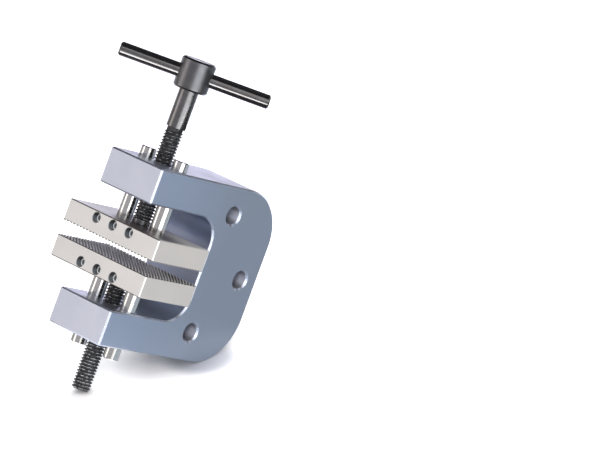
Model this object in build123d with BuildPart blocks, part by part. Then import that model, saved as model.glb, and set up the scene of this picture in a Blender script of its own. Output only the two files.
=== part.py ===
from build123d import *

import os
from math import radians, sqrt, tan

os.makedirs("parts", exist_ok=True)

# Sizes are in millimetres and degrees. The origin is the middle of the load pin bore. +X points out of
# the back of the spine, +Y across the frame, and +Z up along the spindles to the handle.

# The C frame
frame_thickness = 45.0
arm_thickness = 23.0
throat_height = 69.0
throat_depth = 68.5
spine_depth = 56.0
outer_corner_radius = 33.0
inner_corner_radius = 17.0
frame_chamfer = 1.0

# The three cross bores in the spine: the load pin's, and one behind each inner corner
load_pin_diameter = 12.0
load_pin_setback = 16.0
corner_bore_diameter = 12.0
corner_bore_reach = 28.5
corner_bore_rise = 39.0
cross_bore_chamfer = 1.1

# The jaws. An opening is the way from the mid plane of the throat to the tips of a jaw's teeth.
jaw_width = 78.5
jaw_depth = 49.0
jaw_thickness = 14.4
jaw_chamfer = 0.6
upper_opening = 3.05
lower_opening = 5.55
tooth_pitch = 2.0
tooth_angle = 90.0

# The guide pins
pin_diameter = 10.0
pin_length = 55.5
pin_spacing = 28.4
pin_seat_depth = 9.2
pin_chamfer = 0.6

# The spindles
spindle_setback = 24.5
thread_diameter = 12.0
thread_chamfer = 0.9
upper_thread_length = 63.5
lower_thread_length = 71.6
shoulder_gap = 0.1
journal_diameter = 9.0
journal_length = 9.4
journal_end_gap = 0.4
journal_chamfer = 0.5
groove_width = 4.4
groove_depth = 1.6
neck_width = 1.6
neck_depth = 1.0
shank_diameter = 12.4
shank_length = 24.5
head_diameter = 22.0
head_height = 19.5
head_chamfer = 1.2
lower_socket_width = 6.0
lower_socket_depth = 7.0

# The handle, a bar through the head of the upper spindle
handle_diameter = 9.0
handle_length = 97.5
handle_angle = -50.0
handle_chamfer = 0.9

# The set screws
screw_diameter = 6.0
screw_length = 16.0
screw_inset = 4.2
screw_socket_width = 3.0
screw_socket_depth = 3.5
screw_chamfer = 0.5
dog_diameter = 4.0
dog_length = 1.7
handle_screw_length = 5.0
handle_screw_socket_depth = 2.5

# Clearances, all on the radius, and the chamfer at the mouths of bores
running_clearance = 0.03
seat_clearance = 0.01
screw_clearance = 0.05
dog_gap = 0.3
mouth_chamfer = 0.4

# Places that follow from the sizes
back_x = load_pin_setback
wall_x = back_x - spine_depth
front_x = wall_x - throat_depth
spindle_x = front_x + spindle_setback
throat_top = throat_height / 2
frame_top = throat_top + arm_thickness
upper_jaw_back = upper_opening + jaw_thickness
lower_jaw_back = -lower_opening - jaw_thickness
tooth_depth = tooth_pitch / 2 / tan(radians(tooth_angle / 2))
spindle_axis = Axis((spindle_x, 0, 0), (0, 0, 1))
UP = 1
DOWN = -1
jaw_backs = (("upper", upper_jaw_back, UP), ("lower", lower_jaw_back, DOWN))
hands = (("left", pin_spacing / 2), ("right", -pin_spacing / 2))
pin_places = [(0, y) for hand, y in hands]


def new_rims(builder):
    """The round edges that the last step of a builder made."""
    return builder.edges(Select.LAST).filter_by(GeomType.CIRCLE)


# The frame is milled from one block: a C, with its cross bores through the spine and the bores of the
# pins and spindles through both arms.
with BuildPart() as frame:
    with BuildSketch(Plane.XZ) as outline:
        with Locations((front_x, 0)):
            Rectangle(back_x - front_x, 2 * frame_top, align=(Align.MIN, Align.CENTER))
        fillet(outline.vertices().group_by(Axis.X)[-1], outer_corner_radius)
        with Locations((front_x, 0)):
            Rectangle(throat_depth, throat_height, align=(Align.MIN, Align.CENTER), mode=Mode.SUBTRACT)
        throat_corners = outline.vertices().filter_by_position(Axis.X, wall_x - 0.01, wall_x + 0.01)
        fillet(throat_corners, inner_corner_radius)
    extrude(amount=frame_thickness / 2, both=True)
    side_edges = frame.faces().filter_by(Axis.Y).edges()
    arm_end_edges = frame.edges().filter_by(Axis.Y).group_by(Axis.X)[0]
    chamfer(side_edges + arm_end_edges, frame_chamfer)

    with Locations(Plane.XZ.offset(frame_thickness / 2)):
        Hole(load_pin_diameter / 2)
        chamfer(new_rims(frame), cross_bore_chamfer)
        with Locations((-corner_bore_reach, corner_bore_rise), (-corner_bore_reach, -corner_bore_rise)):
            Hole(corner_bore_diameter / 2)
        chamfer(new_rims(frame), cross_bore_chamfer)

    with Locations((spindle_x, 0, frame_top)):
        Hole(thread_diameter / 2 + running_clearance)
        chamfer(new_rims(frame), mouth_chamfer)
        with Locations(*pin_places):
            Hole(pin_diameter / 2 + running_clearance)
        chamfer(new_rims(frame), mouth_chamfer)
frame.part.label = "frame"


# A jaw is a plate whose face carries pyramid teeth, left by two runs of V grooves along its diagonals.
# This one has the tips of its teeth in the plane z = 0, its back above them and the spindle's axis on Z.
def tooth_comb(diagonal):
    """A block under the jaw's back with V grooves along the diagonal, to be kept where it meets the jaw."""
    half_run = (jaw_width + jaw_depth) / 2 / sqrt(2) + 2 * tooth_pitch
    teeth = int(half_run / tooth_pitch) + 1
    tips_and_roots = []
    for step in range(-teeth, teeth):
        tips_and_roots.append((step * tooth_pitch, 0))
        tips_and_roots.append(((step + 0.5) * tooth_pitch, tooth_depth))
    end = teeth * tooth_pitch
    across = Plane(origin=(0, 0, 0), x_dir=diagonal.rotate(Axis.Z, 90), z_dir=diagonal)
    with BuildPart() as comb:
        with BuildSketch(across):
            with BuildLine():
                back_corners = [(end, 2 * jaw_thickness), (-end, 2 * jaw_thickness)]
                Polyline(*tips_and_roots, (end, 0), *back_corners, close=True)
            make_face()
        extrude(amount=half_run, both=True)
    return comb.part


def jaw_plate():
    with BuildPart() as plate:
        Box(jaw_depth, jaw_width, jaw_thickness, align=(Align.CENTER, Align.CENTER, Align.MIN))
        back_edges = plate.faces().sort_by(Axis.Z)[-1].edges()
        chamfer(plate.edges().filter_by(Axis.Z) + back_edges, jaw_chamfer)

        with Locations((0, 0, jaw_thickness)):
            Hole(journal_diameter / 2 + running_clearance, depth=journal_length + journal_end_gap)
            with Locations(*pin_places):
                Hole(pin_diameter / 2 + seat_clearance, depth=pin_seat_depth)
        screw_row = (-jaw_depth / 2, 0, jaw_thickness - screw_inset)
        front = Plane(origin=screw_row, x_dir=(0, 1, 0), z_dir=(-1, 0, 0))
        with Locations(front):
            with Locations((0, 0), *[(y, 0) for hand, y in hands]):
                Hole(screw_diameter / 2 + screw_clearance, depth=jaw_depth / 2)
        chamfer(plate.edges().group_by(Axis.X)[0].filter_by(GeomType.CIRCLE), mouth_chamfer)

        add(tooth_comb(Vector(1, 1, 0)), mode=Mode.INTERSECT)
        add(tooth_comb(Vector(1, -1, 0)), mode=Mode.INTERSECT)
    return plate.part


jaw = jaw_plate()
with BuildPart() as upper_jaw:
    with Locations((spindle_x, 0, upper_opening)):
        add(jaw)
upper_jaw.part.label = "upper_jaw"

with BuildPart() as lower_jaw:
    with Locations((spindle_x, 0, -lower_opening)):
        add(mirror(jaw, about=Plane.XY, mode=Mode.PRIVATE))
lower_jaw.part.label = "lower_jaw"


# A guide pin stands on the bottom of its blind bore in the back of a jaw and slides in an arm.
def guide_pin(name, seat_z, way, y):
    """A pin from its seat in a jaw, upwards or downwards, at this distance from the mid plane."""
    seat = Plane(origin=(spindle_x, y, seat_z), z_dir=(0, 0, way))
    with BuildPart() as pin:
        with BuildSketch(seat):
            Circle(pin_diameter / 2)
        extrude(amount=pin_length)
        chamfer(pin.edges().filter_by(GeomType.CIRCLE), pin_chamfer)
    pin.part.label = name
    return pin


pins = []
for jaw_name, jaw_back, way in jaw_backs:
    for hand, y in hands:
        pins.append(guide_pin(f"{jaw_name}_pin_{hand}", jaw_back - way * pin_seat_depth, way, y))


# A set screw is a headless screw with a hexagon socket. Its thread is left plain.
def set_screw(name, mouth, length, socket_depth, point_length=0.0):
    """A set screw that starts at the mouth plane and runs against its normal, with or without a dog point."""
    with BuildPart() as screw:
        with BuildSketch(mouth):
            Circle(screw_diameter / 2)
        extrude(amount=-length)
        chamfer(screw.edges().filter_by(GeomType.CIRCLE), screw_chamfer)
        if point_length:
            with BuildSketch(mouth.offset(-length)):
                Circle(dog_diameter / 2)
            extrude(amount=-point_length)
        with BuildSketch(mouth):
            RegularPolygon(screw_socket_width / 2, 6, major_radius=False)
        extrude(amount=-socket_depth, mode=Mode.SUBTRACT)
    screw.part.label = name
    return screw


# The outer screws of a jaw press on its pins. The dog point of the middle one runs in the groove of the
# spindle's journal, so that the jaw follows the spindle both ways.
screws = []
pin_front_x = spindle_x - pin_diameter / 2
dog_end_x = spindle_x - journal_diameter / 2 + groove_depth - dog_gap
for jaw_name, jaw_back, way in jaw_backs:
    screw_z = jaw_back - way * screw_inset
    for hand, y in hands:
        mouth = Plane(origin=(pin_front_x - screw_length, y, screw_z), z_dir=(-1, 0, 0))
        screws.append(set_screw(f"{jaw_name}_pin_screw_{hand}", mouth, screw_length, screw_socket_depth))
    mouth = Plane(origin=(dog_end_x - dog_length - screw_length, 0, screw_z), z_dir=(-1, 0, 0))
    name = f"{jaw_name}_spindle_screw"
    screws.append(set_screw(name, mouth, screw_length, screw_socket_depth, dog_length))


# The spindles are turned from bar: a journal with its ring groove, which sits in the jaw, and then the
# thread, left plain at its outer diameter. The upper one goes on with a neck, a shank and a round head.
def journal_outline(jaw_back, way):
    """Radius and height of each corner of a journal, from its end in the jaw to the start of the thread."""
    journal = journal_diameter / 2
    thread = thread_diameter / 2
    end = jaw_back - way * journal_length
    groove_middle = jaw_back - way * screw_inset
    shoulder = jaw_back + way * shoulder_gap
    return [
        (0, end),
        (journal - journal_chamfer, end),
        (journal, end + way * journal_chamfer),
        (journal, groove_middle - way * groove_width / 2),
        (journal - groove_depth, groove_middle - way * groove_width / 2),
        (journal - groove_depth, groove_middle + way * groove_width / 2),
        (journal, groove_middle + way * groove_width / 2),
        (journal, shoulder),
        (thread - thread_chamfer, shoulder),
        (thread, shoulder + way * thread_chamfer),
    ]


thread = thread_diameter / 2
shank = shank_diameter / 2
head = head_diameter / 2
thread_end_z = upper_jaw_back + upper_thread_length
head_bottom_z = thread_end_z + shank_length
head_top_z = head_bottom_z + head_height
head_middle = (spindle_x, 0, (head_bottom_z + head_top_z) / 2)
handle_way = Vector(1, 0, 0).rotate(Axis.Z, handle_angle)
turning_plane = Plane(origin=(spindle_x, 0, 0), x_dir=(1, 0, 0), z_dir=(0, -1, 0))

with BuildPart() as upper_spindle:
    with BuildSketch(turning_plane):
        with BuildLine():
            Polyline(
                *journal_outline(upper_jaw_back, UP),
                (thread, thread_end_z - neck_width - neck_depth),
                (thread - neck_depth, thread_end_z - neck_width),
                (thread - neck_depth, thread_end_z),
                (shank, thread_end_z),
                (shank, head_bottom_z),
                (head - head_chamfer, head_bottom_z),
                (head, head_bottom_z + head_chamfer),
                (head, head_top_z - head_chamfer),
                (head - head_chamfer, head_top_z),
                (0, head_top_z),
                close=True,
            )
        make_face()
    revolve(axis=spindle_axis)
    with Locations((spindle_x, 0, head_top_z)):
        Hole(screw_diameter / 2 + screw_clearance, depth=head_height / 2)
        chamfer(new_rims(upper_spindle).group_by(Axis.Z)[-1], mouth_chamfer)
    with BuildSketch(Plane(origin=head_middle, z_dir=handle_way)):
        Circle(handle_diameter / 2 + seat_clearance)
    extrude(amount=head_diameter, both=True, mode=Mode.SUBTRACT)
upper_spindle.part.label = "upper_spindle"

with BuildPart() as handle:
    with BuildSketch(Plane(origin=head_middle, z_dir=handle_way)):
        Circle(handle_diameter / 2)
    extrude(amount=handle_length / 2, both=True)
    chamfer(handle.edges().filter_by(GeomType.CIRCLE), handle_chamfer)
handle.part.label = "handle"

# The handle's screw comes down from the top of the head onto the bar.
handle_top_z = head_middle[2] + handle_diameter / 2
handle_screw_mouth = Plane.XY.offset(handle_top_z + handle_screw_length).move(Location((spindle_x, 0, 0)))
screws.append(set_screw("handle_screw", handle_screw_mouth, handle_screw_length, handle_screw_socket_depth))

# The lower spindle has no handle. It ends in a chamfer with a hexagon socket.
lower_end_z = lower_jaw_back - lower_thread_length
with BuildPart() as lower_spindle:
    with BuildSketch(turning_plane):
        with BuildLine():
            Polyline(
                *journal_outline(lower_jaw_back, DOWN),
                (thread, lower_end_z + thread_chamfer),
                (thread - thread_chamfer, lower_end_z),
                (0, lower_end_z),
                close=True,
            )
        make_face()
    revolve(axis=spindle_axis)
    with BuildSketch(Plane(origin=(spindle_x, 0, lower_end_z), z_dir=(0, 0, -1))):
        RegularPolygon(lower_socket_width / 2, 6, major_radius=False)
    extrude(amount=-lower_socket_depth, mode=Mode.SUBTRACT)
lower_spindle.part.label = "lower_spindle"

for piece in (frame, upper_jaw, lower_jaw, *pins, *screws, upper_spindle, handle, lower_spindle):
    export_step(piece.part, f"parts/{piece.part.label}.step")
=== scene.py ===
"""Looks, stage and camera of a screw-action tensile test grip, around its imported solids."""

import math

import bmesh
import bpy
from bpy.props import FloatProperty, FloatVectorProperty, IntProperty, PointerProperty
from mathutils import Matrix, Vector


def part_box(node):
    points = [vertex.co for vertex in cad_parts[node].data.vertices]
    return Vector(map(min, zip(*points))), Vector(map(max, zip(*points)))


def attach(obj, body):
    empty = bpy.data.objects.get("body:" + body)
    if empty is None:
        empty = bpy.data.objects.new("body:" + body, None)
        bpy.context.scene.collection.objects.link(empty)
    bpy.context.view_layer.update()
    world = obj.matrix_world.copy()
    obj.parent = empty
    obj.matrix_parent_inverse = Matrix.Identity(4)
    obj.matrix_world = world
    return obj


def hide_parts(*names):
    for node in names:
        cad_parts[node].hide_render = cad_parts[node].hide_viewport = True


bl_info = {
    "name": "Tensile Test Grip",
    "version": (1, 0, 0),
    "blender": (4, 5, 0),
    "location": "3D View > Sidebar > Test Grip",
    "description": "Finishes, threaded spindles and studio of a tensile test grip",
    "category": "Object",
}

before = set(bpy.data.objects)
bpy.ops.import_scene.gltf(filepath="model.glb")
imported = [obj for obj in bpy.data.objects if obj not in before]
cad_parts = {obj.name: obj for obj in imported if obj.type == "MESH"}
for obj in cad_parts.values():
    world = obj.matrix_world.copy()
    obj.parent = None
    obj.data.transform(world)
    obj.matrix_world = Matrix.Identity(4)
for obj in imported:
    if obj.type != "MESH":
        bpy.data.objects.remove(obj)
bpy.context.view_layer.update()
MM = 0.001
WHITE = (1.0, 1.0, 1.0)

# Parts of the normal that tell which way a face looks
SLANT, SLANT_SPREAD = 0.7071, 0.25
STRAIGHT, LEVEL, ACROSS = 0.9, 0.98, 0.3
BACKWARD = -0.4

JAWS = ("upper_jaw", "lower_jaw")
GUIDE_PINS = ("upper_pin_left", "upper_pin_right", "lower_pin_left", "lower_pin_right")
SET_SCREWS = (
    "upper_pin_screw_left", "upper_pin_screw_right", "upper_spindle_screw",
    "lower_pin_screw_left", "lower_pin_screw_right", "lower_spindle_screw", "handle_screw",
)

# Places and sizes of the solids that the finishes and the turned pieces go by
upper_low, upper_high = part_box("upper_spindle")
lower_low, lower_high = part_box("lower_spindle")
jaw_low, jaw_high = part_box("upper_jaw")
lower_jaw_low, lower_jaw_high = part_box("lower_jaw")
handle_low, handle_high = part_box("handle")
SPINDLE_X = (lower_low.x + lower_high.x) / 2
HEAD_BOTTOM = upper_high.z - 19.5 * MM
HANDLE_MIDDLE = (handle_low + handle_high) / 2
HANDLE_TURN = math.radians(-50.0)
HANDLE_WAY = Vector((math.cos(HANDLE_TURN), math.sin(HANDLE_TURN), 0.0))
GAP_MIDDLE = (jaw_low.z + lower_jaw_high.z) / 2
GAP_HALF = (jaw_low.z - lower_jaw_high.z) / 2
TOOTH_DEPTH = 1.0 * MM
THROAT_HALF, THROAT_END_X, FRAME_HALF = 34.5 * MM, -40.0 * MM, 22.5 * MM
CROSS_BORE_RADIUS, CROSS_BORE_HEIGHT = 6.0 * MM, 39.0 * MM
CROSS_BORES = (
    (0.0, 0.0, 0.0), (-28.5 * MM, 0.0, CROSS_BORE_HEIGHT), (-28.5 * MM, 0.0, -CROSS_BORE_HEIGHT))
SCREW_FACE_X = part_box("upper_pin_screw_left")[0].x
SCREW_HOLE_RADIUS, SCREW_HOLE_MOUTH, SCREW_HOLE_DEPTH = 3.0 * MM, 0.9 * MM, 25.0 * MM
UPPER_SCREW_Z, LOWER_SCREW_Z = 13.25 * MM, -15.75 * MM
SCREW_HOLES = tuple(
    (0.0, y, z) for y in (-14.2 * MM, 0.0, 14.2 * MM) for z in (UPPER_SCREW_Z, LOWER_SCREW_Z))


# Sizes and colours that a user would change

def length_property(name, description, default):
    return FloatProperty(name=name, description=description, default=default,
                         subtype="DISTANCE", unit="LENGTH")


def colour_property(name, description, default):
    return FloatVectorProperty(name=name, description=description, default=default,
                               subtype="COLOR", size=3, min=0.0, max=1.0)


class GripThreadSettings(bpy.types.PropertyGroup):
    pitch: length_property("Pitch", "Rise of the thread in one turn", 2.0 * MM)
    diameter: length_property(
        "Diameter", "Outer diameter over the crests", lower_high.x - lower_low.x)
    depth: length_property("Depth", "From crest to root", 1.1 * MM)
    segments: IntProperty(name="Segments", description="Facets round one turn, a multiple of six",
                          default=96, min=24, max=192)


class GripSpindleSettings(bpy.types.PropertyGroup):
    journal_diameter: length_property(
        "Journal", "Diameter of the plain end in the jaw", 9.0 * MM)
    groove_depth: length_property(
        "Groove depth", "Depth of the journal's ring groove", 1.6 * MM)
    groove_width: length_property(
        "Groove width", "Width of the journal's ring groove", 4.4 * MM)
    collar_length: length_property(
        "Collar", "Plain length between the journal and the thread", 3.0 * MM)
    thread_length: length_property(
        "Thread length", "Upper thread, from the jaw to the shank", 63.5 * MM)
    shank_diameter: length_property("Shank", "Diameter of the plain shank", 12.4 * MM)
    shank_length: length_property("Shank length", "From the thread to the head", 24.5 * MM)
    head_diameter: length_property(
        "Head", "Diameter of the round head", upper_high.x - upper_low.x)
    socket_width: length_property(
        "Socket", "Across flats of the lower spindle's hexagon", 6.0 * MM)
    socket_depth: length_property("Socket depth", "Depth of that hexagon", 7.0 * MM)


class GripFinishSettings(bpy.types.PropertyGroup):
    frame_colour: colour_property(
        "Frame", "Anodised aluminium of the frame", (0.47, 0.505, 0.595))
    bore_colour: colour_property(
        "Bores", "Bare aluminium in the cross bores", (0.78, 0.81, 0.92))
    jaw_colour: colour_property("Jaws", "Nickel plated steel of the jaws", (0.585, 0.58, 0.565))
    pin_colour: colour_property("Guide pins", "Ground and polished steel", (0.78, 0.77, 0.75))
    oxide_colour: colour_property("Black oxide", "Threads and set screws", (0.105, 0.105, 0.11))
    worn_colour: colour_property(
        "Worn crests", "Bare steel on the thread's crests", (0.56, 0.56, 0.57))
    burnished_colour: colour_property("Burnished steel", "Shank and head", (0.22, 0.22, 0.23))
    handle_colour: colour_property(
        "Handle", "Polished dark steel of the handle", (0.225, 0.225, 0.23))


class GripStageSettings(bpy.types.PropertyGroup):
    lean: FloatProperty(
        name="Lean", description="Tilt of the table under the grip, about Y",
        default=math.radians(26.09), subtype="ANGLE", unit="ROTATION")
    focal_length: FloatProperty(
        name="Focal length", description="Of the camera, in millimetres on a 36 mm sensor",
        default=215.33, min=10.0, max=500.0)
    camera_place: FloatVectorProperty(
        name="Camera", description="Where the camera stands",
        default=(-1.785004, -1.421815, 0.270577), subtype="TRANSLATION", size=3)


SETTINGS = {
    "grip_thread": GripThreadSettings,
    "grip_spindle": GripSpindleSettings,
    "grip_finish": GripFinishSettings,
    "grip_stage": GripStageSettings,
}


# Node trees

def add(tree, kind, **settings):
    """A new node with its own settings, such as its operation."""
    made = tree.nodes.new(kind)
    for name, value in settings.items():
        setattr(made, name, value)
    return made


def put(tree, socket, value):
    """Gives an input another node's output, a colour, a vector or a number."""
    if isinstance(value, bpy.types.NodeSocket):
        tree.links.new(value, socket)
    else:
        socket.default_value = (*value, 1.0) if socket.type == "RGBA" else value


def feed(tree, node, **values):
    """Gives a node's inputs their values by name, with _ for a space, and returns the node."""
    for name, value in values.items():
        put(tree, node.inputs[name.replace("_", " ")], value)
    return node


def math_node(tree, operation, *values, clamp=False):
    made = add(tree, "ShaderNodeMath", operation=operation, use_clamp=clamp)
    for socket, value in zip(made.inputs, values):
        put(tree, socket, value)
    return made.outputs[0]


def product(tree, first, *others):
    for other in others:
        first = math_node(tree, "MULTIPLY", first, other)
    return first


def vector_node(tree, operation, *values):
    made = add(tree, "ShaderNodeVectorMath", operation=operation)
    for socket, value in zip(made.inputs, values):
        put(tree, socket, value)
    return made.outputs["Value" if operation in ("LENGTH", "DOT_PRODUCT") else "Vector"]


def split(tree, vector):
    made = add(tree, "ShaderNodeSeparateXYZ")
    put(tree, made.inputs[0], vector)
    return made.outputs


def ramp(tree, value, low, high, to_low=0.0, to_high=1.0):
    """value from low..high to to_low..to_high, smooth and clamped."""
    made = add(tree, "ShaderNodeMapRange", interpolation_type="SMOOTHSTEP")
    for socket, given in zip(made.inputs, (value, low, high, to_low, to_high)):
        put(tree, socket, given)
    return made.outputs[0]


def between(tree, share, low, high):
    """From low, where the share is 0, to high, where it is 1."""
    return ramp(tree, share, 0.0, 1.0, low, high)


def mix_colour(tree, share, first, second):
    """The first colour where the share is 0, the second where it is 1."""
    made = add(tree, "ShaderNodeMix", data_type="RGBA")
    for number, value in ((0, share), (6, first), (7, second)):
        put(tree, made.inputs[number], value)
    return made.outputs[2]


def shade(colour, factor):
    """A colour times a number, or times one number for each channel, held to 1."""
    factors = (factor,) * 3 if isinstance(factor, (int, float)) else factor
    return tuple(min(1.0, part * times) for part, times in zip(colour, factors))


def noise(tree, dimensions, **values):
    made = add(tree, "ShaderNodeTexNoise", noise_dimensions=dimensions)
    return feed(tree, made, **values).outputs[0]


def line_reach(tree, point, middles, across):
    """Distance to the nearest of some parallel lines through middles. across is 0 along them."""
    nearest = None
    for middle in middles:
        apart = vector_node(tree, "SUBTRACT", point, middle)
        reach = vector_node(tree, "LENGTH", vector_node(tree, "MULTIPLY", apart, across))
        nearest = reach if nearest is None else math_node(tree, "MINIMUM", nearest, reach)
    return nearest


def ellipse(tree, place, middle, radii, low, high):
    """0 inside an ellipse in X and Y, 1 outside, eased from low to high times its radii."""
    apart = vector_node(tree, "SUBTRACT", place, (*middle, 0.0))
    scaled = vector_node(tree, "DIVIDE", apart, (*radii, 1.0))
    return ramp(tree, vector_node(tree, "LENGTH", scaled), low, high)


def relief(tree, shader, height, distance, strength):
    """Feeds a height, in units of distance, to the shader's normal."""
    bump = add(tree, "ShaderNodeBump")
    feed(tree, bump, Height=height, Distance=distance, Strength=strength)
    feed(tree, shader, Normal=bump.outputs[0])


def see_through_back(tree, shader):
    """Lets the view through where a sheet is seen from its back."""
    sides = add(tree, "ShaderNodeNewGeometry")
    clear = add(tree, "ShaderNodeBsdfTransparent")
    choose = add(tree, "ShaderNodeMixShader")
    sources = (sides.outputs["Backfacing"], shader.outputs[0], clear.outputs[0])
    for socket, source in zip(choose.inputs, sources):
        put(tree, socket, source)
    put(tree, tree.nodes["Material Output"].inputs["Surface"], choose.outputs[0])


def seen_rays(tree, path):
    """1 for the camera's rays, straight, mirrored or through clear things, and 0 for others."""
    seen = math_node(tree, "MAXIMUM", path["Is Camera Ray"], path["Is Glossy Ray"])
    return math_node(tree, "MAXIMUM", seen, path["Is Transmission Ray"])


# Effects shared by the materials

def new_group(name, inputs, outputs):
    """A shader node group: inputs as (name, type, default), outputs, all numbers, by name."""
    tree = bpy.data.node_groups.new(name, "ShaderNodeTree")
    for label, kind, default in inputs:
        socket = tree.interface.new_socket(
            name=label, in_out="INPUT", socket_type="NodeSocket" + kind)
        if default is not None:
            socket.default_value = default
    for label in outputs:
        tree.interface.new_socket(name=label, in_out="OUTPUT", socket_type="NodeSocketFloat")
    return tree, add(tree, "NodeGroupInput").outputs, add(tree, "NodeGroupOutput")


def build_mottle():
    """Soft blotches and fine grain, for tone, roughness and relief."""
    tree, given, out = new_group(
        "metal_mottle",
        [("Vector", "Vector", None), ("Blotch Scale", "Float", 60.0),
         ("Grain Scale", "Float", 3000.0)],
        ["Blotch", "Grain"])
    blotch = noise(tree, "3D", Vector=given["Vector"], Scale=given["Blotch Scale"],
                   Detail=4.0, Roughness=0.6)
    grain = noise(tree, "3D", Vector=given["Vector"], Scale=given["Grain Scale"],
                  Detail=2.0, Roughness=0.5)
    feed(tree, out, Blotch=ramp(tree, blotch, 0.3, 0.7), Grain=grain)
    return tree


def build_tool_marks():
    """Fine lines left by a cutter, along the surfaces where Distance stays the same."""
    tree, given, out = new_group(
        "tool_marks", [("Distance", "Float", 0.0), ("Spacing", "Float", 0.4 * MM)],
        ["Height", "Mask"])
    steps = math_node(tree, "DIVIDE", given["Distance"], given["Spacing"])
    fine = noise(tree, "1D", W=steps, Scale=1.0, Detail=3.0)
    broad = noise(tree, "1D", W=steps, Scale=0.13, Detail=1.0)
    feed(tree, out, Height=math_node(tree, "MULTIPLY_ADD", broad, 0.5, fine),
         Mask=ramp(tree, broad, 0.35, 0.65))
    return tree


def build_edge_rub():
    """Where hands and handling have rubbed the outer edges."""
    tree, given, out = new_group(
        "edge_rub", [("Width", "Float", 0.4 * MM), ("Breakup", "Float", 0.5)], ["Mask"])
    soft = feed(tree, add(tree, "ShaderNodeBevel", samples=4), Radius=given["Width"])
    flat = add(tree, "ShaderNodeNewGeometry")
    turn = vector_node(tree, "DOT_PRODUCT", soft.outputs[0], flat.outputs["Normal"])
    edge = ramp(tree, turn, 0.99, 0.86)
    feed(tree, out, Mask=math_node(tree, "MULTIPLY", edge, given["Breakup"], clamp=True))
    return tree


def build_screw_holes():
    """The screw holes in the jaws' fronts, their tops, where shade is painted, and the distance to
    an axis.
    """
    tree, given, out = new_group(
        "screw_holes", [("Vector", "Vector", None)], ["Mask", "Shade", "Reach"])
    reach = line_reach(tree, given["Vector"], SCREW_HOLES, (0.0, 1.0, 1.0))
    wall = math_node(tree, "LESS_THAN", reach, SCREW_HOLE_RADIUS + SCREW_HOLE_MOUTH)
    x, _, z = split(tree, given["Vector"])
    lower = math_node(tree, "LESS_THAN", z, GAP_MIDDLE)
    height = math_node(tree, "MULTIPLY_ADD", lower, UPPER_SCREW_Z - LOWER_SCREW_Z, z)
    behind = ramp(tree, x, jaw_low.x + 0.01 * MM, jaw_low.x + 0.06 * MM)
    before = math_node(tree, "LESS_THAN", x, jaw_low.x + SCREW_HOLE_DEPTH)
    feed(tree, out, Mask=product(tree, wall, behind, before), Reach=reach,
         Shade=ramp(tree, height, UPPER_SCREW_Z - 1.0 * MM, UPPER_SCREW_Z + 2.0 * MM))
    return tree


def build_cross_bores():
    """The frame's three cross bores, and how near a point is to the height of a bore's axis."""
    tree, given, out = new_group("cross_bores", [("Vector", "Vector", None)], ["Mask", "Level"])
    reach = line_reach(tree, given["Vector"], CROSS_BORES, (1.0, 0.0, 1.0))
    height = split(tree, given["Vector"])[2]
    off = math_node(tree, "ABSOLUTE", height)
    for level in (CROSS_BORE_HEIGHT, -CROSS_BORE_HEIGHT):
        away = math_node(tree, "ABSOLUTE", math_node(tree, "SUBTRACT", height, level))
        off = math_node(tree, "MINIMUM", off, away)
    feed(tree, out, Level=ramp(tree, off, CROSS_BORE_RADIUS - 0.6 * MM, 1.0 * MM),
         Mask=math_node(tree, "LESS_THAN", reach, CROSS_BORE_RADIUS + 0.04 * MM))
    return tree


GROUP_MAKERS = {
    "metal_mottle": build_mottle, "tool_marks": build_tool_marks, "edge_rub": build_edge_rub,
    "cross_bores": build_cross_bores, "screw_holes": build_screw_holes,
}


def place_group(tree, name, **values):
    """The outputs of one of the shared effects in this material, with values for its inputs."""
    source = bpy.data.node_groups.get(name) or GROUP_MAKERS[name]()
    return feed(tree, add(tree, "ShaderNodeGroup", node_tree=source), **values).outputs


# Materials

def new_material(name, **constants):
    """A material, its tree, its shader with constants for inputs, and texture coordinates."""
    material = bpy.data.materials.new(name)
    material.use_nodes = True
    tree = material.node_tree
    shader = feed(tree, tree.nodes["Principled BSDF"], **constants)
    return material, tree, shader, add(tree, "ShaderNodeTexCoord").outputs


# Shares of the frame's colour, most of them painted light and shade
# Painted shade high in the throat, painted light low in it
THROAT_TOP_SHADE_TONE, THROAT_BOTTOM_LIGHT_TONE = (0.62, 0.69, 0.86), (1.35, 1.50, 1.66)
# Painted shade on the side faces, painted light towards their front
SIDE_FRONT_LIGHT_TONE, SIDE_SHADE_TONE = (0.99, 1.06, 1.13), (0.85, 0.88, 0.89)
# Random blotches, painted highlights on sideways chamfers joined to rubbed edges, painted shade in
# the bores
BLOTCH_TONE, FRAME_EDGE_WEAR_AND_HIGHLIGHT_TONE, BORE_SHADE_TONE = 0.93, 1.6, 0.26


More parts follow.
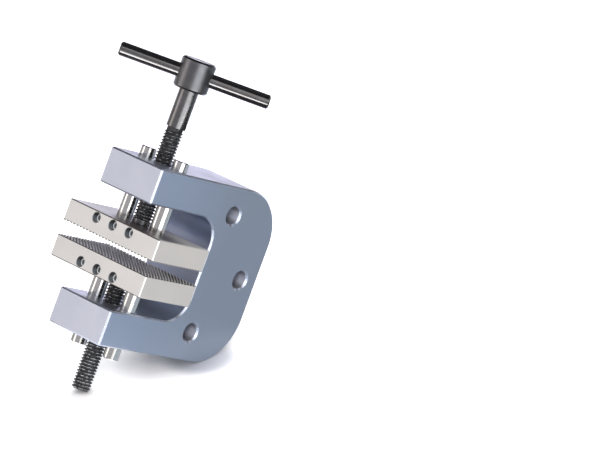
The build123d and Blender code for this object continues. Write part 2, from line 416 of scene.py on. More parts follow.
def anodised_aluminium(colour, bare):
    """Satin frame, rubbed edges and bare bores, with light and shade painted by where its faces
    lie and look.
    """
    material, tree, shader, given = new_material("anodised_aluminium")
    place = given["Object"]
    x, y, z = split(tree, place)
    normal = split(tree, given["Normal"])
    mottle = place_group(
        tree, "metal_mottle", Vector=place, Blotch_Scale=45.0, Grain_Scale=4200.0)
    rub = place_group(tree, "edge_rub", Width=0.5 * MM, Breakup=mottle["Blotch"])
    marks = place_group(tree, "tool_marks", Spacing=0.9 * MM,
                        Distance=math_node(tree, "MULTIPLY_ADD", z, 0.35, y))
    bores = place_group(tree, "cross_bores", Vector=place)

    # Painted shade and light in the throat, broken up by blotches: darker in its upper part,
    # lighter towards its bottom, fading out at its floor
    throat = product(
        tree,
        ramp(tree, math_node(tree, "ABSOLUTE", z), THROAT_HALF + 0.2 * MM, THROAT_HALF - 0.2 * MM),
        ramp(tree, x, THROAT_END_X + 0.2 * MM, THROAT_END_X - 0.2 * MM),
        ramp(tree, math_node(tree, "ABSOLUTE", y), FRAME_HALF - 0.6 * MM, FRAME_HALF - 1.4 * MM),
        ramp(tree, z, 0.5 * MM - THROAT_HALF, 8.0 * MM - THROAT_HALF),
        between(tree, mottle["Blotch"], 0.75, 1.0))
    throat_shade_and_light = mix_colour(tree, ramp(tree, z, -5.0 * MM, -24.0 * MM),
                           shade(colour, THROAT_TOP_SHADE_TONE), shade(colour, THROAT_BOTTOM_LIGHT_TONE))
    sideways = math_node(tree, "ABSOLUTE", normal[1])
    # Painted shade on the side faces, and painted light on their front part
    side = math_node(tree, "GREATER_THAN", sideways, STRAIGHT)
    front = product(tree, side, ramp(tree, x, -15.0 * MM, -100.0 * MM))
    # Painted highlight on chamfers that lean sideways and don't face down, joined to the rubbed
    # edges
    highlit_chamfers = product(tree, math_node(tree, "COMPARE", sideways, SLANT, SLANT_SPREAD),
                      math_node(tree, "GREATER_THAN", normal[2], BACKWARD))
    rub_and_highlight = math_node(tree, "MAXIMUM", rub["Mask"], highlit_chamfers)
    bored = product(tree, bores["Mask"], math_node(tree, "LESS_THAN", sideways, ACROSS))
    # Painted shade on the bore walls away from the height of their axis
    bore_wall_shade = mix_colour(tree, bores["Level"], shade(bare, BORE_SHADE_TONE), bare)

    tone = mix_colour(tree, mottle["Blotch"], shade(colour, BLOTCH_TONE), colour)
    for share, over in ((throat, throat_shade_and_light), (side, shade(colour, SIDE_SHADE_TONE)),
                        (front, shade(colour, SIDE_FRONT_LIGHT_TONE)),
                        (rub_and_highlight, shade(colour, FRAME_EDGE_WEAR_AND_HIGHLIGHT_TONE)), (bored, bore_wall_shade)):
        tone = mix_colour(tree, share, tone, over)
    satin = between(tree, mottle["Blotch"], 0.36, 0.42)
    feed(tree, shader, Base_Color=tone,
         Metallic=math_node(tree, "MULTIPLY_ADD", bored, -0.45, 0.92),
         Roughness=math_node(tree, "MULTIPLY_ADD", rub_and_highlight, -0.16, satin))
    uneven = math_node(tree, "MULTIPLY_ADD", marks["Height"], 0.35, mottle["Grain"])
    relief(tree, shader, uneven, 0.05 * MM, 0.7)
    return material


# Shares of the jaws' colour, and the colours of their details, most of them painted light, shade
# and reflections
JAW_BLOTCH_TONE, JAW_EDGE_TONE = 0.95, 1.25
# Painted light on the jaws' sides
JAW_SIDE_LIGHT_TONE, JAW_SIDE_LIGHT_SHARE = (1.17, 1.12, 1.08), 0.6
# Painted light on the crests of the teeth, painted shade in their roots
TOOTH_CREST_LIGHT_TONE, TOOTH_ROOT_SHADE_TONE = 1.5, 0.05
# Painted dark reflection on the level chamfers of the front
LEVEL_EDGE_REFLECTION_COLOUR = (0.10, 0.085, 0.08)
# Painted shade round the pins and the spindle
PIN_SHADE_COLOUR = (0.085, 0.07, 0.07)
# Painted shade in the screw holes, darker still at their tops
HOLE_SHADE_COLOUR, HOLE_SHADE_TONE = (0.20, 0.215, 0.22), 0.15
# Painted shade round the pins and the spindle: middle, radii and easing
PIN_SHADE_ELLIPSE = ((-97.0 * MM, -15.0 * MM), (21.0 * MM, 31.0 * MM), 0.4, 1.35)


def nickel_plate(colour):
    """Satin jaws with rubbed edges, and painted light, shade and reflections on the teeth, front
    chamfers, sides, round the pins and in the screw holes.
    """
    material, tree, shader, given = new_material("satin_nickel", Metallic=0.55)
    place = given["Object"]
    z = split(tree, place)[2]
    normal = split(tree, given["Normal"])
    mottle = place_group(
        tree, "metal_mottle", Vector=place, Blotch_Scale=55.0, Grain_Scale=3600.0)
    rub = place_group(tree, "edge_rub", Width=0.3 * MM, Breakup=mottle["Blotch"])
    marks = place_group(tree, "tool_marks", Distance=z, Spacing=0.3 * MM)
    holes = place_group(tree, "screw_holes", Vector=place)

    # Painted shade in the roots of the teeth and painted light on their crests
    from_gap = math_node(tree, "ABSOLUTE", math_node(tree, "SUBTRACT", z, GAP_MIDDLE))
    toothed = math_node(tree, "LESS_THAN", from_gap, GAP_HALF + TOOTH_DEPTH + 0.02 * MM)
    tooth_root_shade = ramp(tree, from_gap, GAP_HALF + 0.05 * MM, GAP_HALF + 0.65 * TOOTH_DEPTH)
    tooth_shade_and_light = mix_colour(tree, product(tree, tooth_root_shade, toothed), shade(colour, TOOTH_CREST_LIGHT_TONE),
                       shade(colour, TOOTH_ROOT_SHADE_TONE))
    sideways = math_node(tree, "ABSOLUTE", normal[1])
    upright = math_node(tree, "ABSOLUTE", normal[2])
    forward = math_node(tree, "LESS_THAN", normal[0], BACKWARD)
    # Painted highlight on front chamfers that lean sideways, painted dark reflection on those that
    # lean up and down
    side_edge_highlight, level_edge_reflection = (
        product(tree, math_node(tree, "COMPARE", part, SLANT, SLANT_SPREAD), forward)
        for part in (sideways, upright))
    # Painted light on the side faces
    side = product(tree, math_node(tree, "GREATER_THAN", sideways, STRAIGHT), JAW_SIDE_LIGHT_SHARE)
    level = math_node(tree, "GREATER_THAN", upright, LEVEL)
    # Painted shade round the pins and the spindle on the level faces, off the teeth
    pin_shade = math_node(tree, "SUBTRACT", level, ellipse(tree, place, *PIN_SHADE_ELLIPSE), clamp=True)
    pin_shade = product(tree, pin_shade, math_node(tree, "SUBTRACT", 1.0, toothed))
    # Painted shade in the screw holes, darker still at their tops
    hole_shade = mix_colour(tree, holes["Shade"], HOLE_SHADE_COLOUR, shade(HOLE_SHADE_COLOUR, HOLE_SHADE_TONE))

    tone = mix_colour(tree, mottle["Blotch"], shade(colour, JAW_BLOTCH_TONE), colour)
    for share, over in ((rub["Mask"], shade(colour, JAW_EDGE_TONE)), (side_edge_highlight, WHITE),
                        (level_edge_reflection, LEVEL_EDGE_REFLECTION_COLOUR), (toothed, tooth_shade_and_light),
                        (side, shade(colour, JAW_SIDE_LIGHT_TONE)), (pin_shade, PIN_SHADE_COLOUR),
                        (holes["Mask"], hole_shade)):
        tone = mix_colour(tree, share, tone, over)
    feed(tree, shader, Base_Color=tone, Roughness=between(tree, mottle["Blotch"], 0.38, 0.46))
    uneven = math_node(tree, "MULTIPLY_ADD", marks["Height"], 0.3, mottle["Grain"])
    relief(tree, shader, uneven, 0.015 * MM, 0.5)
    return material


def polished_steel(colour):
    """Ground and polished guide pins."""
    material, tree, shader, given = new_material("polished_steel", Metallic=1.0)
    place = given["Object"]
    mottle = place_group(
        tree, "metal_mottle", Vector=place, Blotch_Scale=110.0, Grain_Scale=5000.0)
    marks = place_group(
        tree, "tool_marks", Distance=split(tree, place)[2], Spacing=0.25 * MM)
    feed(tree, shader, Base_Color=mix_colour(tree, marks["Mask"], shade(colour, 0.96), colour),
         Roughness=between(tree, mottle["Blotch"], 0.07, 0.12))
    relief(tree, shader, marks["Height"], 0.004 * MM, 0.5)
    return material


def thread_oxide(colour, worn, radius):
    """Black threads, rubbed to bare steel in blotches along their crests."""
    material, tree, shader, given = new_material("black_oxide_thread", Metallic=1.0)
    place = given["Object"]
    mottle = place_group(
        tree, "metal_mottle", Vector=place, Blotch_Scale=620.0, Grain_Scale=1500.0)
    reach = line_reach(tree, place, [(SPINDLE_X, 0.0, 0.0)], (1.0, 1.0, 0.0))
    rubbed = product(tree, ramp(tree, reach, radius - 0.35 * MM, radius - 0.02 * MM),
                     ramp(tree, mottle["Blotch"], 0.40, 0.75, 0.0, 1.4))
    feed(tree, shader, Base_Color=mix_colour(tree, rubbed, colour, worn),
         Roughness=ramp(tree, mottle["Grain"], 0.3, 0.7, 0.20, 0.52))
    relief(tree, shader, mottle["Grain"], 0.5 * MM, 1.0)
    return material


# Painted light on the set screws, which lie in shade down their holes: a near-white end and a grey
# socket
SCREW_END_LIGHT_COLOUR, SCREW_SOCKET_LIGHT_COLOUR = (0.97, 0.99, 1.0), (0.33, 0.35, 0.36)
SCREW_END_DEPTH, SCREW_RIM_DEPTH, SCREW_SOCKET_RADIUS = 0.15 * MM, 0.55 * MM, 1.85 * MM


def socket_oxide(colour, worn):
    """Black set screws with rubbed edges, and painted light: near-white ends, white highlights on
    the chamfers of their ends, and grey sockets.
    """
    material, tree, shader, given = new_material("black_oxide_screws")
    place = given["Object"]
    mottle = place_group(
        tree, "metal_mottle", Vector=place, Blotch_Scale=700.0, Grain_Scale=5200.0)
    rub = place_group(tree, "edge_rub", Width=0.15 * MM, Breakup=mottle["Blotch"])
    reach = place_group(tree, "screw_holes", Vector=place)["Reach"]
    x = split(tree, place)[0]
    facing = split(tree, add(tree, "ShaderNodeNewGeometry").outputs["Normal"])[0]
    # Painted highlight on the chamfer of the end, painted light on the end and in the socket
    rim_highlight = product(tree, math_node(tree, "LESS_THAN", x, SCREW_FACE_X + SCREW_RIM_DEPTH),
                  math_node(tree, "COMPARE", facing, -SLANT, 0.2))
    end = math_node(tree, "LESS_THAN", x, SCREW_FACE_X + SCREW_END_DEPTH)
    socket = math_node(tree, "LESS_THAN", reach, SCREW_SOCKET_RADIUS)
    tone = mix_colour(tree, rub["Mask"], colour, worn)
    for share, over in ((end, SCREW_END_LIGHT_COLOUR), (socket, SCREW_SOCKET_LIGHT_COLOUR), (rim_highlight, WHITE)):
        tone = mix_colour(tree, share, tone, over)
    # The metal is turned down where light is painted
    plain = math_node(tree, "MAXIMUM", rim_highlight, math_node(tree, "MAXIMUM", end, socket))
    feed(tree, shader, Base_Color=tone,
         Metallic=math_node(tree, "MULTIPLY_ADD", plain, -0.9, 1.0),
         Roughness=between(tree, mottle["Blotch"], 0.28, 0.4))
    relief(tree, shader, mottle["Grain"], 0.01 * MM, 0.5)
    return material


BAR_BLOTCH_TONE, BAR_EDGE_TONE, HEAD_TONE = (0.86, 0.82, 0.78), 2.0, 0.78


def burnished_steel(name, colour, axis, spindle):
    """Darkened turned bar with fine rings along its axis.

    The spindle's is rougher, has a sheen stretched along Z, and a darker, still rougher head."""
    material, tree, shader, given = new_material(name, Metallic=1.0)
    place = given["Object"]
    mottle = place_group(
        tree, "metal_mottle", Vector=place, Blotch_Scale=160.0, Grain_Scale=4200.0)
    rub = place_group(tree, "edge_rub", Width=0.3 * MM, Breakup=mottle["Blotch"])
    marks = place_group(tree, "tool_marks", Spacing=0.22 * MM,
                        Distance=vector_node(tree, "DOT_PRODUCT", place, axis))
    tone = mix_colour(tree, mottle["Blotch"], shade(colour, BAR_BLOTCH_TONE), colour)
    rough = between(tree, marks["Mask"], *((0.20, 0.26) if spindle else (0.12, 0.18)))
    if spindle:
        around = add(tree, "ShaderNodeTangent", direction_type="RADIAL", axis="Z")
        feed(tree, shader, Anisotropic=0.55, Tangent=around.outputs[0])
        head = ramp(tree, split(tree, place)[2], HEAD_BOTTOM - STEP, HEAD_BOTTOM + STEP)
        tone = mix_colour(tree, head, tone, shade(colour, HEAD_TONE))
        rough = math_node(tree, "MULTIPLY_ADD", head, 0.08, rough)
    feed(tree, shader, Roughness=rough,
         Base_Color=mix_colour(tree, rub["Mask"], tone, shade(colour, BAR_EDGE_TONE)))
    relief(tree, shader, marks["Height"], 0.01 * MM, 0.5)
    return material


def dress(names, material):
    """Gives imported solids a material, in place of their own."""
    for name in names:
        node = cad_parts[name]
        node.data.materials.clear()
        node.data.materials.append(material)


# Meshes and objects

def mesh_of(name, work):
    """The mesh of a finished bmesh, which is freed."""
    mesh = bpy.data.meshes.new(name)
    work.to_mesh(mesh)
    work.free()
    return mesh


def add_object(name, data):
    made = bpy.data.objects.new(name, data)
    bpy.context.scene.collection.objects.link(made)
    return made


def add_piece(name, mesh, body, replaced):
    piece = add_object(name, mesh)
    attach(piece, body)
    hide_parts(replaced)


def standing(x, y, z, place):
    """A matrix with these axes at a place."""
    made = Matrix((x, y, z)).transposed().to_4x4()
    made.translation = place
    return made


# Turned pieces with a real thread

THREAD_CHAMFER, JAW_GAP = 0.9 * MM, 0.1 * MM
JOURNAL_LENGTH, JOURNAL_CHAMFER, GROOVE_INSET = 9.4 * MM, 0.5 * MM, 4.2 * MM
COLLAR_STEP, COLLAR_CHAMFER = 0.35 * MM, 0.3 * MM
NECK_DEPTH, NECK_WIDTH, SHANK_CHAMFER = 1.0 * MM, 1.6 * MM, 0.2 * MM
HEAD_CHAMFER, HEAD_BORE_CHAMFER, HEAD_BORE_RADIUS = 1.2 * MM, 0.4 * MM, 3.05 * MM
HANDLE_BORE_RADIUS, SOCKET_CHAMFER = 4.51 * MM, 0.15 * MM
STEP = 0.1 * MM  # over which a tone changes, or under which two heights count as one
WELD_DISTANCE = 2e-7
SHARP_ANGLE = math.radians(32.0)

# One pitch from the middle of a crest: shares of the pitch, and of the depth
CREST, ROOT, EASING = 0.07, 0.13, 0.03
THREAD_PROFILE = (
    (0.0, 0.0), (CREST, 0.0), (CREST + EASING, 0.07), (0.5 - ROOT - EASING, 0.93),
    (0.5 - ROOT, 1.0), (0.5 + ROOT, 1.0), (0.5 + ROOT + EASING, 0.93),
    (1 - CREST - EASING, 0.07), (1 - CREST, 0.0),
)


def depth_at(share):
    """The thread's depth at any share of the pitch."""
    points = (*THREAD_PROFILE, (1.0, 0.0))
    for (a, low), (b, high) in zip(points, points[1:]):
        if a <= share <= b:
            return low + (high - low) * (share - a) / (b - a)


def thread_section(thread, z_low, z_high, low_cone, high_cone):
    """Rows of (radius, height) that climb the thread's helix, and how many of them in a turn.

    The rows are held inside a cone at each end, given as (radius at the end, length over
    which it opens to the full radius)."""
    radius, count = thread.diameter / 2, thread.segments
    turns = math.ceil((z_high - z_low) / thread.pitch) + 1

    def radius_at(z, angle_share):
        share = ((z - z_low) / thread.pitch - angle_share) % 1.0
        reach = radius - thread.depth * depth_at(share)
        for (end_radius, length), away in ((low_cone, z - z_low), (high_cone, z_high - z)):
            opened = end_radius + (radius - end_radius) * max(0.0, away) / length
            reach = min(reach, opened)
        return reach

    rows = []
    for turn in range(-1, turns + 1):
        for share, _ in THREAD_PROFILE:
            row = []
            for k in range(count):
                z = z_low + thread.pitch * (turn + share + k / count)
                z = min(max(z, z_low), z_high)
                row.append((radius_at(z, k / count), z))
            rows.append(row)
    return rows, len(THREAD_PROFILE)


def rings(corners, count):
    """Round rows from (radius, height) corners."""
    return [[corner] * count for corner in corners]


def hexagon(width, z, count):
    """A row in the shape of a hexagon, given across its flats."""
    row = []
    for k in range(count):
        from_flat = (360.0 * k / count) % 60.0 - 30.0
        row.append((width / 2 / math.cos(math.radians(from_flat)), z))
    return row


def jaw_end(spindle, thread, jaw_back, way, count):
    """The plain journal in the jaw with its ring groove, and the collar up to the thread."""
    journal, collar = spindle.journal_diameter / 2, thread.diameter / 2 - COLLAR_STEP
    end = jaw_back - way * JOURNAL_LENGTH
    low = jaw_back - way * (GROOVE_INSET + spindle.groove_width / 2)
    high = jaw_back - way * (GROOVE_INSET - spindle.groove_width / 2)
    shoulder = jaw_back + way * JAW_GAP
    floor = journal - spindle.groove_depth
    return rings([
        (journal - JOURNAL_CHAMFER, end), (journal, end + way * JOURNAL_CHAMFER),
        (journal, low), (floor, low), (floor, high), (journal, high), (journal, shoulder),
        (collar - COLLAR_CHAMFER, shoulder), (collar, shoulder + way * COLLAR_CHAMFER),
        (collar, shoulder + way * spindle.collar_length),
    ], count)


def turned_mesh(name, sections, count):
    """A closed mesh from sections of rows, low to high.

    Each section is given with how many rows its helix climbs in a turn, 0 for plain ones."""
    work = bmesh.new()
    rows, meets = [], []
    for section, climb in sections:
        last = len(rows) + len(section) - 1
        for row in section:
            meets.append(min(len(rows) + climb, last))
            verts = []
            for k, (radius, z) in enumerate(row):
                angle = 2 * math.pi * k / count
                verts.append(work.verts.new(
                    (SPINDLE_X + radius * math.cos(angle), radius * math.sin(angle), z)))
            rows.append(verts)

    for j, (row, above) in enumerate(zip(rows, rows[1:])):
        for k in range(count):
            if k < count - 1:
                corners = (row[k], row[k + 1], above[k + 1], above[k])
            else:
                corners = (row[k], rows[meets[j]][0], rows[meets[j + 1]][0], above[k])
            if len(set(corners)) == 4:
                work.faces.new(corners)
    for ends, flip in ((rows[0], True), (rows[-1], False)):
        middle = work.verts.new((SPINDLE_X, 0.0, sum(v.co.z for v in ends) / count))
        for k in range(count):
            a, b = ends[k], ends[(k + 1) % count]
            work.faces.new((middle, b, a) if flip else (middle, a, b))
    bmesh.ops.remove_doubles(work, verts=work.verts, dist=WELD_DISTANCE)
    bmesh.ops.dissolve_degenerate(work, edges=work.edges, dist=WELD_DISTANCE)
    bmesh.ops.recalc_face_normals(work, faces=work.faces)
    return mesh_of(name, work)


def smooth(mesh):
    mesh.polygons.foreach_set("use_smooth", [True] * len(mesh.polygons))
    mesh.set_sharp_from_angle(angle=SHARP_ANGLE)


def drill(name, mesh, radius, length, middle, way):
    """The mesh with a round bore along a direction, as a new mesh."""
    work = bmesh.new()
    turn = Vector(way).to_track_quat("Z", "Y").to_matrix().to_4x4()
    bmesh.ops.create_cone(
        work, cap_ends=True, segments=64, radius1=radius, radius2=radius,
        depth=length, matrix=Matrix.Translation(middle) @ turn)
    cutter = add_object("cutter", mesh_of("cutter", work))
    body = add_object("blank", mesh)
    cut = body.modifiers.new("bore", "BOOLEAN")
    cut.operation, cut.solver, cut.object = "DIFFERENCE", "EXACT", cutter
    depsgraph = bpy.context.evaluated_depsgraph_get()
    result = bpy.data.meshes.new_from_object(body.evaluated_get(depsgraph))
    for spent in (body, cutter):
        data = spent.data
        bpy.data.objects.remove(spent)
        bpy.data.meshes.remove(data)
    result.name = name
    return result


def thread_material(context):
    """The material of the threads, which both spindles share."""
    thread, finish = context.scene.grip_thread, context.scene.grip_finish
    return bpy.data.materials.get("black_oxide_thread") or thread_oxide(
        finish.oxide_colour, finish.worn_colour, thread.diameter / 2)


# Operators

class GRIP_OT_frame(bpy.types.Operator):
    """Finish the milled frame"""
    bl_idname = "grip.frame"
    bl_label = "Finish the frame"

    def execute(self, context):
        finish = context.scene.grip_finish
        dress(["frame"], anodised_aluminium(finish.frame_colour, finish.bore_colour))
        return {"FINISHED"}


class GRIP_OT_jaws(bpy.types.Operator):
    """Finish the serrated jaws"""
    bl_idname = "grip.jaws"
    bl_label = "Finish the jaws"

    def execute(self, context):
        dress(JAWS, nickel_plate(context.scene.grip_finish.jaw_colour))
        return {"FINISHED"}


class GRIP_OT_guide_pins(bpy.types.Operator):
    """Finish the four guide pins"""
    bl_idname = "grip.guide_pins"
    bl_label = "Finish the guide pins"

    def execute(self, context):
        dress(GUIDE_PINS, polished_steel(context.scene.grip_finish.pin_colour))
        return {"FINISHED"}


class GRIP_OT_set_screws(bpy.types.Operator):
    """Finish the set screws"""
    bl_idname = "grip.set_screws"
    bl_label = "Finish the set screws"

    def execute(self, context):
        finish = context.scene.grip_finish
        dress(SET_SCREWS, socket_oxide(finish.oxide_colour, finish.pin_colour))
        return {"FINISHED"}


class GRIP_OT_handle(bpy.types.Operator):
    """Finish the bar through the head of the upper spindle"""
    bl_idname = "grip.handle"
    bl_label = "Finish the handle"

    def execute(self, context):
        finish = context.scene.grip_finish
        steel = burnished_steel("burnished_bar", finish.handle_colour, HANDLE_WAY, False)
        dress(["handle"], steel)
        return {"FINISHED"}


class GRIP_OT_upper_spindle(bpy.types.Operator):
    """Turn the upper spindle with its thread, shank and head"""
    bl_idname = "grip.upper_spindle"
    bl_label = "Make the upper spindle"

    def execute(self, context):
        scene = context.scene
        thread, spindle, finish = scene.grip_thread, scene.grip_spindle, scene.grip_finish
        count = thread.segments
        jaw_back, top = jaw_high.z, upper_high.z
        radius, shank = thread.diameter / 2, spindle.shank_diameter / 2
        head, neck = spindle.head_diameter / 2, thread.diameter / 2 - NECK_DEPTH
        thread_start = jaw_back + JAW_GAP + spindle.collar_length
        thread_end = jaw_back + spindle.thread_length
        neck_start = thread_end - NECK_WIDTH
        head_bottom = thread_end + spindle.shank_length
        helix = thread_section(thread, thread_start, neck_start,
                               (radius - THREAD_CHAMFER, THREAD_CHAMFER), (neck, NECK_DEPTH))
        above = rings([
            (neck, neck_start + 0.02 * MM), (neck, thread_end),
            (shank - SHANK_CHAMFER, thread_end), (shank, thread_end + SHANK_CHAMFER),
            (shank, head_bottom), (head - HEAD_CHAMFER, head_bottom),
            (head, head_bottom + HEAD_CHAMFER), (head, top - HEAD_CHAMFER),
            (head - HEAD_CHAMFER, top), (HEAD_BORE_RADIUS + HEAD_BORE_CHAMFER, top),
            (HEAD_BORE_RADIUS, top - HEAD_BORE_CHAMFER), (HEAD_BORE_RADIUS, HANDLE_MIDDLE.z),
        ], count)
        sections = [(jaw_end(spindle, thread, jaw_back, 1, count), 0), helix, (above, 0)]
        blank = turned_mesh("upper_spindle_turned", sections, count)
        mesh = drill("upper_spindle_threaded", blank, HANDLE_BORE_RADIUS, 3 * head,
                     HANDLE_MIDDLE, HANDLE_WAY)
        smooth(mesh)
        mesh.materials.clear()
        mesh.materials.append(thread_material(context))
        mesh.materials.append(
            burnished_steel("burnished_spindle", finish.burnished_colour, (0.0, 0.0, 1.0), True))
        for face in mesh.polygons:
            threaded = thread_start < face.center.z < thread_end - STEP
            face.material_index = int(not threaded)
        add_piece("upper_spindle_threaded", mesh, "upper_spindle", "upper_spindle")
        return {"FINISHED"}


class GRIP_OT_lower_spindle(bpy.types.Operator):
    """Turn the lower spindle with its thread and hexagon socket"""
    bl_idname = "grip.lower_spindle"
    bl_label = "Make the lower spindle"

    def execute(self, context):
        thread, spindle = context.scene.grip_thread, context.scene.grip_spindle
        count = thread.segments
        jaw_back, end = lower_jaw_low.z, lower_low.z
        thread_start = jaw_back - JAW_GAP - spindle.collar_length
        cone = (thread.diameter / 2 - THREAD_CHAMFER, THREAD_CHAMFER)
        helix = thread_section(thread, end, thread_start, cone, cone)
        socket = [
            hexagon(spindle.socket_width, end + spindle.socket_depth, count),
            hexagon(spindle.socket_width, end + SOCKET_CHAMFER, count),
            hexagon(spindle.socket_width + 2 * SOCKET_CHAMFER, end, count),
        ]
        in_jaw = jaw_end(spindle, thread, jaw_back, -1, count)[::-1]
        mesh = turned_mesh(
            "lower_spindle_threaded", [(socket, 0), helix, (in_jaw, 0)], count)
        smooth(mesh)
        mesh.materials.append(thread_material(context))
        add_piece("lower_spindle_threaded", mesh, "lower_spindle", "lower_spindle")
        return {"FINISHED"}


TABLE_CLEARANCE, TABLE_SHIFT = 0.05 * MM, 60.0 * MM


class GRIP_OT_stage(bpy.types.Operator):
    """Set up the table, the lamps and the camera"""
    bl_idname = "grip.stage"
    bl_label = "Set up the studio"

    def execute(self, context):
        stage = context.scene.grip_stage
        up = Vector((-math.sin(stage.lean), 0.0, math.cos(stage.lean)))
        side = Vector((math.cos(stage.lean), 0.0, math.sin(stage.lean)))
        foot = Vector((lower_high.x - THREAD_CHAMFER, 0.0, lower_low.z))
        studio = standing(side, up.cross(side), up,
                          foot - up * TABLE_CLEARANCE + side * TABLE_SHIFT)
        eye = Vector(stage.camera_place)

        table = make_table(studio)
        make_camera(context, eye, stage.focal_length)
        make_world(context)
        make_lamps(studio, eye)
        make_cards(studio, eye)
        return {"FINISHED"}


# The studio

TABLE_REACH = 3.0
# The table's own colour, and the colour of the painted contact shadow
TABLE_COLOUR, CONTACT_SHADOW_COLOUR = (0.90, 0.90, 0.905), (0.33, 0.35, 0.41)
# The table as reflections see it beside the grip: a painted reflection
MIRRORED_COLOUR = (0.45, 0.50, 0.56)
# Glow away from the grip, dimmed glow where shade is painted, and how much of it reflections lose
# beside the grip
TABLE_GLOW, SHADE_GLOW, MIRRORED_GLOW_LOSS = 0.68, 0.10, 0.75
# Ellipses on the table, middle, radii and easing: two where its glow dims to paint shade, the
# painted contact shadow, and where reflections see it bluer
UNDER_CORNER = ((11.0 * MM, -8.0 * MM), (29.0 * MM, 20.0 * MM), 0.6, 2.1)
UNDER_SPINDLE = ((-66.0 * MM, -3.0 * MM), (11.0 * MM, 8.0 * MM), 0.5, 1.3)
CONTACT_SHADOW = ((24.0 * MM, -17.0 * MM), (19.0 * MM, 17.0 * MM), 0.8, 1.7)
UNDER_GRIP = ((17.0 * MM, 0.0), (62.0 * MM, 62.0 * MM), 0.9, 1.0)


def make_table(studio):
    """A pale table that takes the grip's shadow, with shade painted near the grip by a dimmer
    glow, a contact shadow painted by the frame's corner, and a painted reflection beside the grip.
    From below it lets the view through.
    """
    work = bmesh.new()
    bmesh.ops.create_grid(work, x_segments=1, y_segments=1, size=TABLE_REACH)
    table = add_object("table", mesh_of("table", work))
    table.matrix_world = studio
    material, tree, shader, given = new_material(
        "white_table", Roughness=0.75, Specular_IOR_Level=0.2, Emission_Color=WHITE)
    place = given["Object"]
    path = add(tree, "ShaderNodeLightPath").outputs
    # Painted shade under the frame's corner and under the spindle's end, where the glow dims
    clear = math_node(tree, "MINIMUM", ellipse(tree, place, *UNDER_CORNER),
                      ellipse(tree, place, *UNDER_SPINDLE))
    glow = math_node(tree, "MULTIPLY_ADD", clear, TABLE_GLOW - SHADE_GLOW, SHADE_GLOW)
    # Painted reflection: beside the grip, reflections see a bluer, dimmer table
    beside = math_node(tree, "SUBTRACT", 1.0, ellipse(tree, place, *UNDER_GRIP))
    mirrored = product(tree, path["Is Glossy Ray"], beside)
    kept = math_node(tree, "MULTIPLY_ADD", mirrored, -MIRRORED_GLOW_LOSS, 1.0)
    # Painted contact shadow by the frame's corner
    tone = mix_colour(tree, ellipse(tree, place, *CONTACT_SHADOW), CONTACT_SHADOW_COLOUR, TABLE_COLOUR)
    feed(tree, shader, Base_Color=mix_colour(tree, mirrored, tone, MIRRORED_COLOUR),
         Emission_Strength=product(tree, seen_rays(tree, path), glow, kept))
    see_through_back(tree, shader)
    table.data.materials.append(material)
    return table


CAMERA_RIGHT = Vector((0.59742084, -0.72357076, 0.34573645))
CAMERA_DOWN = Vector((0.13819151, -0.33179133, -0.93317609))
CAMERA_AHEAD = Vector((0.78993129, 0.60527669, -0.09822772))


def make_camera(context, eye, focal_length):
    data = bpy.data.cameras.new("camera")
    camera = add_object("camera", data)
    camera.matrix_world = standing(CAMERA_RIGHT, -CAMERA_DOWN, -CAMERA_AHEAD, eye)
    data.sensor_width = 36.0
    data.lens = focal_length
    data.clip_start, data.clip_end = 0.05, 30.0
    context.scene.camera = camera


WORLD_LIGHT = (0.25, 0.26, 0.30)


def make_world(context):
    """A dim even light, white where it is seen."""
    world = bpy.data.worlds.new("studio")
    context.scene.world = world
    world.use_nodes = True
    tree = world.node_tree
    seen = seen_rays(tree, add(tree, "ShaderNodeLightPath").outputs)
    feed(tree, tree.nodes["Background"], Color=mix_colour(tree, seen, WORLD_LIGHT, WHITE))
    context.scene.view_settings.view_transform = "Standard"


STUDIO_CENTRE = Vector((-0.045, 0.0, 0.015))


def studio_place(studio, eye, azimuth, elevation, distance):
    """A place round the grip, in degrees to the camera's right and up from the table."""
    turn = studio.to_3x3()
    local = turn.transposed() @ (eye - STUDIO_CENTRE)
    heading = math.atan2(local.y, local.x) + math.radians(azimuth)
    lift = math.radians(elevation)
    away = Vector((math.cos(heading) * math.cos(lift), math.sin(heading) * math.cos(lift),
                   math.sin(lift)))
    return STUDIO_CENTRE + turn @ away * distance


def handle_stand(studio, eye):
    """The level direction from the handle to the camera, the one across, and straight up."""
    up = studio.col[2].to_3d()
    ahead = eye - HANDLE_MIDDLE
    ahead = (ahead - up * ahead.dot(up)).normalized()
    return ahead, ahead.cross(up), up


LAMPS = (
    # name, azimuth, elevation, distance, width, height, radiance, colour, diffuse, reflections
    ("left_softbox", -78.0, 14.0, 1.0, 0.26, 0.8, 1.36, (1.0, 0.82, 0.75), True, True),
    ("front_key", -8.0, 31.0, 1.5, 0.3, 0.3, 24.0, (1.0, 0.985, 0.97), True, False),
    ("front_softbox", 29.0, 14.0, 1.2, 0.95, 0.7, 1.6, (0.93, 0.96, 1.0), False, True),
    ("right_fill", 80.0, 8.0, 1.1, 0.8, 0.8, 3.6, (1.0, 0.87, 0.74), True, False),
    ("overhead_softbox", 8.0, 70.0, 1.3, 1.5, 1.5, 2.3, WHITE, True, False),
)
# The handle's own lamp: towards the camera and below the handle, then its sizes and radiance
HANDLE_LAMP_AHEAD, HANDLE_LAMP_BELOW = 82.5 * MM, 33.0 * MM
HANDLE_LAMP = (180.0 * MM, 55.0 * MM, 4.15)


def add_lamp(name, matrix, width, height, radiance, colour, diffuse, reflected):
    data = bpy.data.lights.new(name, "AREA")
    data.shape, data.size, data.size_y = "RECTANGLE", width, height
    data.energy = radiance * math.pi * width * height
    data.color = colour
    lamp = add_object(name, data)
    lamp.matrix_world = matrix
    lamp.visible_camera = False
    lamp.visible_diffuse, lamp.visible_glossy = diffuse, reflected


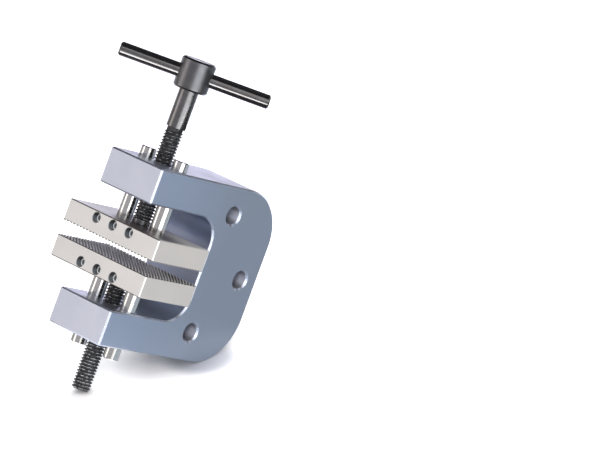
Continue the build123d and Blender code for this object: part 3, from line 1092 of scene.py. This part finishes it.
def make_lamps(studio, eye):
    for name, azimuth, elevation, distance, *looks in LAMPS:
        place = studio_place(studio, eye, azimuth, elevation, distance)
        turn = (place - STUDIO_CENTRE).to_track_quat("Z", "Y").to_matrix().to_4x4()
        add_lamp(name, Matrix.Translation(place) @ turn, *looks)
    ahead, across, up = handle_stand(studio, eye)
    place = HANDLE_MIDDLE + ahead * HANDLE_LAMP_AHEAD - up * HANDLE_LAMP_BELOW
    add_lamp("handle_softbox", standing(across, ahead, -up, place), *HANDLE_LAMP,
             WHITE, False, True)


DOME_CARDS = (
    # name, azimuths, elevations, colour
    ("overhead_card", (-180.0, 180.0), (58.0, 90.0), (0.06, 0.06, 0.065)),
    ("camera_card", (-64.0, 4.0), (-4.0, 58.0), (0.44, 0.43, 0.45)),
    ("right_dark_card", (56.0, 82.0), (-4.0, 58.0), (0.05, 0.05, 0.055)),
    ("right_grey_card", (82.0, 112.0), (-4.0, 58.0), (0.43, 0.44, 0.46)),
    ("back_card", (112.0, 230.0), (6.0, 58.0), (0.07, 0.07, 0.08)),
    ("left_card", (-130.0, -96.0), (-4.0, 58.0), (0.33, 0.32, 0.31)),
)
FLOOR_CARDS = (
    # name, azimuths, distances from the grip, colour
    ("right_floor_card", (6.0, 148.0), (0.055, 0.48), (0.45, 0.51, 0.575)),
    ("right_far_card", (86.0, 148.0), (0.48, 0.9), (0.45, 0.51, 0.575)),
    ("right_edge_card", (50.0, 86.0), (0.48, 2.4), (0.05, 0.05, 0.055)),
    ("back_floor_card", (152.0, 208.0), (0.12, 1.6), (2.1, 2.03, 2.5)),
    ("left_floor_card", (-148.0, -70.0), (0.0, 0.9), (0.36, 0.35, 0.35)),
)
HANDLE_CARDS = (
    # name, across the view, towards the camera, colour
    ("handle_dark_card", (-0.09, 0.09), (0.006, 0.055), (0.10, 0.10, 0.105)),
)
DOME_RADIUS, CARD_STEPS = 1.7, 12


def card_mesh(name, across, along, place):
    """A sheet over two ranges, each point put in place by a function of both values."""
    work = bmesh.new()
    shares = [step / CARD_STEPS for step in range(CARD_STEPS + 1)]
    grid = [
        [work.verts.new(place(across[0] + (across[1] - across[0]) * i,
                              along[0] + (along[1] - along[0]) * j)) for j in shares]
        for i in shares
    ]
    for low, high in zip(grid, grid[1:]):
        for j in range(CARD_STEPS):
            work.faces.new((low[j], high[j], high[j + 1], low[j + 1]))
    return mesh_of(name, work)


def make_cards(studio, eye):
    """Plain cards that only the metal's reflections see."""
    ahead, across, up = handle_stand(studio, eye)
    floor = studio.translation + up * MM

    def on_dome(azimuth, elevation):
        return studio_place(studio, eye, azimuth, elevation, DOME_RADIUS)

    def on_floor(azimuth, distance):
        point = studio_place(studio, eye, azimuth, 0.0, distance)
        return point - up * (point - floor).dot(up)

    def by_handle(sideways, forward):
        return HANDLE_MIDDLE + ahead * forward + across * sideways - up * HANDLE_LAMP_BELOW

    for cards, place in (
            (DOME_CARDS, on_dome), (FLOOR_CARDS, on_floor), (HANDLE_CARDS, by_handle)):
        for name, first, second, colour in cards:
            card = add_object(name, card_mesh(name, first, second, place))
            material, tree, shader, _ = new_material(
                name, Base_Color=(0.0, 0.0, 0.0), Specular_IOR_Level=0.0,
                Emission_Color=colour, Emission_Strength=1.0)
            if place is by_handle:
                see_through_back(tree, shader)
            card.data.materials.append(material)
            card.visible_camera = card.visible_diffuse = False
            card.visible_shadow = card.visible_transmission = False


class GRIP_PT_panel(bpy.types.Panel):
    """The grip's pieces and its studio"""
    bl_idname = "GRIP_PT_panel"
    bl_label = "Test Grip"
    bl_space_type = "VIEW_3D"
    bl_region_type = "UI"
    bl_category = "Test Grip"

    def draw(self, context):
        layout = self.layout
        for group, kind in SETTINGS.items():
            box = layout.box()
            settings = getattr(context.scene, group)
            for name in kind.__annotations__:
                box.prop(settings, name)
        for operator in OPERATORS:
            layout.operator(operator.bl_idname)


OPERATORS = (
    GRIP_OT_frame, GRIP_OT_jaws, GRIP_OT_guide_pins, GRIP_OT_set_screws, GRIP_OT_handle,
    GRIP_OT_upper_spindle, GRIP_OT_lower_spindle, GRIP_OT_stage,
)
CLASSES = (*SETTINGS.values(), *OPERATORS, GRIP_PT_panel)


def register():
    for kind in CLASSES:
        bpy.utils.register_class(kind)
    for group, kind in SETTINGS.items():
        setattr(bpy.types.Scene, group, PointerProperty(type=kind))


def unregister():
    for group in SETTINGS:
        delattr(bpy.types.Scene, group)
    for kind in reversed(CLASSES):
        bpy.utils.unregister_class(kind)


def main():
    register()
    bpy.ops.grip.frame()
    bpy.ops.grip.jaws()
    bpy.ops.grip.guide_pins()
    bpy.ops.grip.set_screws()
    bpy.ops.grip.handle()
    bpy.ops.grip.upper_spindle()
    bpy.ops.grip.lower_spindle()
    bpy.ops.grip.stage()


if __name__ == "__main__":
    main()
